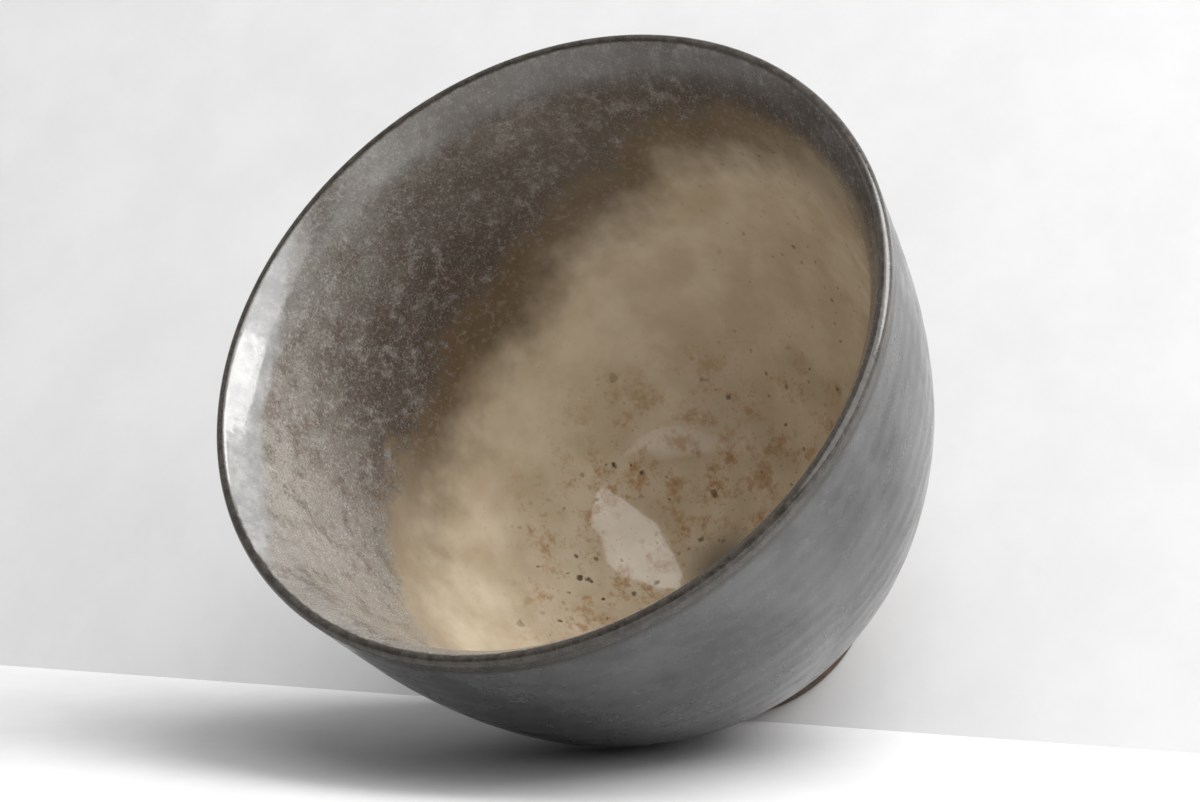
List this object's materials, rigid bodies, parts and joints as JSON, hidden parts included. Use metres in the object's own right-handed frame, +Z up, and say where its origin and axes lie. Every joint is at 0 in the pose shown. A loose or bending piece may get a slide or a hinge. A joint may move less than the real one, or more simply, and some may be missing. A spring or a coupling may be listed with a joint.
{
  "type": "deep footed tea bowl",
  "caption": "Deep round tea bowl with a thin upright lip, a rounded belly and a small bare foot ring, for holding and drinking tea.",
  "frame": {"origin": "centre of the foot ring's underside, on the bowl's axis", "axes": "+Z up the bowl's axis to the mouth; +X and +Y are free directions across it"},
  "size_m": [0.084, 0.084, 0.0673],
  "materials": {
    "clay_body": "matt dark stoneware, hidden under the glaze",
    "foot_ring": "matt bare dark brown stoneware",
    "outer_glaze": "satin blue-grey glaze with soft cloudy mottling",
    "pale_liner_glaze": "glossy beige glaze with brown iron specks",
    "grey_pour_glaze": "glossy grey glaze, finely crystalline",
    "iron_lip_band": "glossy dark iron brown where the glaze ran thin"
  },
  "bodies": {
    "root": {"clay_body": "clay_body", "foot_ring": "foot_ring", "outer_glaze": "outer_glaze", "pale_liner_glaze": "pale_liner_glaze", "grey_pour_glaze": "grey_pour_glaze", "iron_lip_band": "iron_lip_band"}
  },
  "joints": []
}
